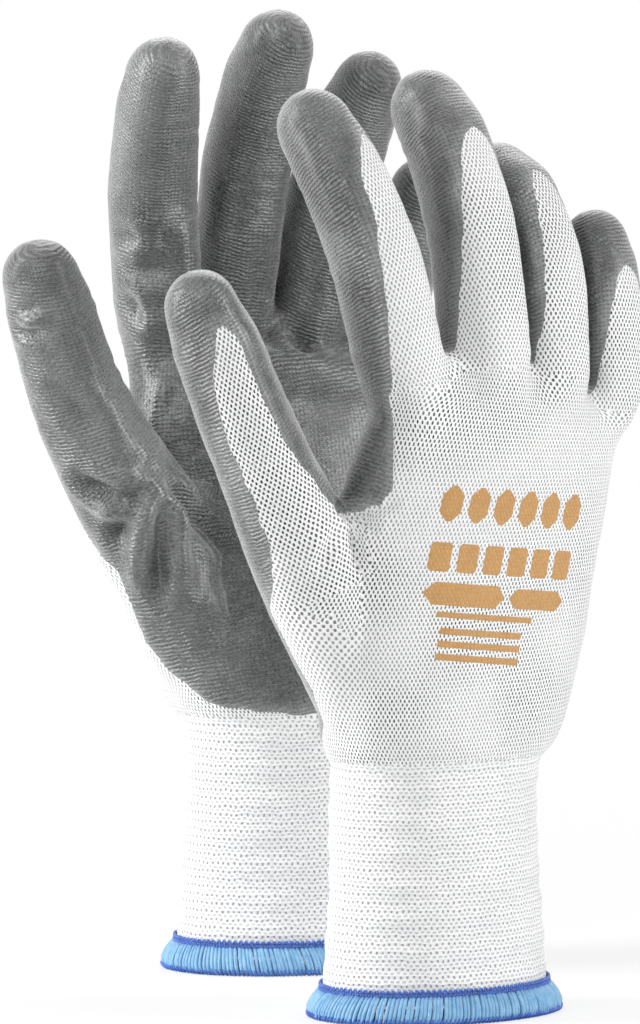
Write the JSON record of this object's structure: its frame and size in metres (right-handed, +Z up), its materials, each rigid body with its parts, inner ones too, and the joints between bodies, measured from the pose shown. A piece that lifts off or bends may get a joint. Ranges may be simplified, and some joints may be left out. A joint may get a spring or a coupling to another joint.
{
  "type": "coated knit gloves",
  "caption": "Pair of white knitted work gloves with grey dipped palms, knitted elastic cuffs and blue overlocked hems, standing filled on their hems.",
  "frame": {"origin": "middle of the pair's bounding box, on the surface that the hems stand on", "axes": "+Z up along the fingers, +X to the right and +Y away from a viewer who sees the back of the right glove in front of the palm of the left"},
  "size_m": [0.1674, 0.2103, 0.2548],
  "materials": {
    "hand_knit": "fine seamless knit, matt",
    "cuff_knit": "knit with laid-in elastic, matt",
    "elastic_yarn": "covered elastic yarn",
    "hem_thread": "light blue overlock thread, satin",
    "stitch_thread": "darker blue thread, satin",
    "coating": "grey dipped coating, semi-gloss with the knit showing through",
    "print_ink": "ochre ink bars"
  },
  "bodies": {
    "right_hand": {"right_cuff_knit": "cuff_knit", "right_cuff_elastic": "elastic_yarn", "right_hem_looper_thread": "hem_thread", "right_hem_needle_thread": "stitch_thread", "right_hem_edge_thread": "stitch_thread", "right_palm_knit": "hand_knit", "right_palm_coating": "coating", "right_back_print": "print_ink"},
    "left_hand": {"left_cuff_knit": "cuff_knit", "left_cuff_elastic": "elastic_yarn", "left_hem_looper_thread": "hem_thread", "left_hem_needle_thread": "stitch_thread", "left_hem_edge_thread": "stitch_thread", "left_palm_knit": "hand_knit", "left_palm_coating": "coating", "left_back_print": "print_ink"},
    "right_thumb_base": {"right_thumb_base_knit": "hand_knit", "right_thumb_base_coating": "coating"},
    "right_thumb_tip": {"right_thumb_tip_knit": "hand_knit", "right_thumb_tip_coating": "coating"},
    "right_index_base": {"right_index_base_knit": "hand_knit", "right_index_base_coating": "coating"},
    "right_index_tip": {"right_index_tip_knit": "hand_knit", "right_index_tip_coating": "coating"},
    "right_middle_base": {"right_middle_base_knit": "hand_knit", "right_middle_base_coating": "coating"},
    "right_middle_tip": {"right_middle_tip_knit": "hand_knit", "right_middle_tip_coating": "coating"},
    "right_ring_base": {"right_ring_base_knit": "hand_knit", "right_ring_base_coating": "coating"},
    "right_ring_tip": {"right_ring_tip_knit": "hand_knit", "right_ring_tip_coating": "coating"},
    "right_little_base": {"right_little_base_knit": "hand_knit", "right_little_base_coating": "coating"},
    "right_little_tip": {"right_little_tip_knit": "hand_knit", "right_little_tip_coating": "coating"},
    "left_thumb_base": {"left_thumb_base_knit": "hand_knit", "left_thumb_base_coating": "coating"},
    "left_thumb_tip": {"left_thumb_tip_knit": "hand_knit", "left_thumb_tip_coating": "coating"},
    "left_index_base": {"left_index_base_knit": "hand_knit", "left_index_base_coating": "coating"},
    "left_index_tip": {"left_index_tip_knit": "hand_knit", "left_index_tip_coating": "coating"},
    "left_middle_base": {"left_middle_base_knit": "hand_knit", "left_middle_base_coating": "coating"},
    "left_middle_tip": {"left_middle_tip_knit": "hand_knit", "left_middle_tip_coating": "coating"},
    "left_ring_base": {"left_ring_base_knit": "hand_knit", "left_ring_base_coating": "coating"},
    "left_ring_tip": {"left_ring_tip_knit": "hand_knit", "left_ring_tip_coating": "coating"},
    "left_little_base": {"left_little_base_knit": "hand_knit", "left_little_base_coating": "coating"},
    "left_little_tip": {"left_little_tip_knit": "hand_knit", "left_little_tip_coating": "coating"}
  },
  "joints": [
    {"name": "right_thumb_foot_bend", "type": "hinge", "parent": "right_hand", "child": "right_thumb_base", "pos_m": [-0.00482, -0.07509, 0.12471], "axis": [-0.9313, 0.0576, -0.3596], "range_deg": [-6, 16], "stiffness_Nm_per_rad": 0.03},
    {"name": "right_thumb_middle_bend", "type": "hinge", "parent": "right_thumb_base", "child": "right_thumb_tip", "pos_m": [-0.01835, -0.08694, 0.15786], "axis": [-0.9313, 0.0576, -0.3596], "range_deg": [-6, 20], "stiffness_Nm_per_rad": 0.03},
    {"name": "right_index_foot_bend", "type": "hinge", "parent": "right_hand", "child": "right_index_base", "pos_m": [0.01898, -0.08036, 0.17102], "axis": [-0.7566, -0.6349, -0.1564], "range_deg": [-6, 32], "stiffness_Nm_per_rad": 0.03},
    {"name": "right_index_middle_bend", "type": "hinge", "parent": "right_index_base", "child": "right_index_tip", "pos_m": [0.01227, -0.07946, 0.19982], "axis": [-0.7566, -0.6349, -0.1564], "range_deg": [-6, 42], "stiffness_Nm_per_rad": 0.03},
    {"name": "right_middle_foot_bend", "type": "hinge", "parent": "right_hand", "child": "right_middle_base", "pos_m": [0.04063, -0.06848, 0.1728], "axis": [-0.7644, -0.6414, 0.0663], "range_deg": [-6, 32], "stiffness_Nm_per_rad": 0.03},
    {"name": "right_middle_middle_bend", "type": "hinge", "parent": "right_middle_base", "child": "right_middle_tip", "pos_m": [0.03726, -0.06121, 0.20439], "axis": [-0.7644, -0.6414, 0.0663], "range_deg": [-6, 42], "stiffness_Nm_per_rad": 0.03},
    {"name": "right_ring_foot_bend", "type": "hinge", "parent": "right_hand", "child": "right_ring_base", "pos_m": [0.05684, -0.05361, 0.1686], "axis": [-0.7595, -0.6373, 0.1305], "range_deg": [-6, 32], "stiffness_Nm_per_rad": 0.03},
    {"name": "right_ring_middle_bend", "type": "hinge", "parent": "right_ring_base", "child": "right_ring_tip", "pos_m": [0.05474, -0.04575, 0.19479], "axis": [-0.7595, -0.6373, 0.1305], "range_deg": [-6, 42], "stiffness_Nm_per_rad": 0.03},
    {"name": "right_little_foot_bend", "type": "hinge", "parent": "right_hand", "child": "right_little_base", "pos_m": [0.07172, -0.03835, 0.16049], "axis": [-0.7603, -0.638, 0.1219], "range_deg": [-6, 32], "stiffness_Nm_per_rad": 0.03},
    {"name": "right_little_middle_bend", "type": "hinge", "parent": "right_little_base", "child": "right_little_tip", "pos_m": [0.07213, -0.0351, 0.18002], "axis": [-0.7603, -0.638, 0.1219], "range_deg": [-6, 42], "stiffness_Nm_per_rad": 0.03},
    {"name": "left_thumb_foot_bend", "type": "hinge", "parent": "left_hand", "child": "left_thumb_base", "pos_m": [-0.04555, 0.0364, 0.12383], "axis": [0.3108, 0.8798, 0.3596], "range_deg": [-6, 16], "stiffness_Nm_per_rad": 0.03},
    {"name": "left_thumb_middle_bend", "type": "hinge", "parent": "left_thumb_base", "child": "left_thumb_tip", "pos_m": [-0.06134, 0.02877, 0.15612], "axis": [0.3108, 0.8798, 0.3596], "range_deg": [-6, 20], "stiffness_Nm_per_rad": 0.03},
    {"name": "left_index_foot_bend", "type": "hinge", "parent": "left_hand", "child": "left_index_base", "pos_m": [-0.04145, 0.0607, 0.17126], "axis": [0.8834, 0.4501, 0.1305], "range_deg": [-6, 32], "stiffness_Nm_per_rad": 0.03},
    {"name": "left_index_middle_bend", "type": "hinge", "parent": "left_index_base", "child": "left_index_tip", "pos_m": [-0.0431, 0.05522, 0.20137], "axis": [0.8834, 0.4501, 0.1305], "range_deg": [-6, 42], "stiffness_Nm_per_rad": 0.03},
    {"name": "left_middle_foot_bend", "type": "hinge", "parent": "left_hand", "child": "left_middle_base", "pos_m": [-0.02276, 0.0755, 0.17303], "axis": [0.8909, 0.454, -0.0122], "range_deg": [-6, 32], "stiffness_Nm_per_rad": 0.03},
    {"name": "left_middle_middle_bend", "type": "hinge", "parent": "left_middle_base", "child": "left_middle_tip", "pos_m": [-0.01918, 0.06938, 0.20697], "axis": [0.8909, 0.454, -0.0122], "range_deg": [-6, 42], "stiffness_Nm_per_rad": 0.03},
    {"name": "left_ring_foot_bend", "type": "hinge", "parent": "left_hand", "child": "left_ring_base", "pos_m": [-0.00257, 0.08448, 0.16875], "axis": [0.8883, 0.4526, -0.0785], "range_deg": [-6, 32], "stiffness_Nm_per_rad": 0.03},
    {"name": "left_ring_middle_bend", "type": "hinge", "parent": "left_ring_base", "child": "left_ring_tip", "pos_m": [0.00305, 0.07858, 0.19839], "axis": [0.8883, 0.4526, -0.0785], "range_deg": [-6, 42], "stiffness_Nm_per_rad": 0.03},
    {"name": "left_little_foot_bend", "type": "hinge", "parent": "left_hand", "child": "left_little_base", "pos_m": [0.01795, 0.09221, 0.1604], "axis": [0.8823, 0.4496, -0.1392], "range_deg": [-6, 32], "stiffness_Nm_per_rad": 0.03},
    {"name": "left_little_middle_bend", "type": "hinge", "parent": "left_little_base", "child": "left_little_tip", "pos_m": [0.02192, 0.09104, 0.1818], "axis": [0.8823, 0.4496, -0.1392], "range_deg": [-6, 42], "stiffness_Nm_per_rad": 0.03},
    {"name": "pair_apart", "type": "slide", "parent": "right_hand", "child": "left_hand", "axis": [0, 1, 0], "range_m": [0, 0.15]}
  ]
}
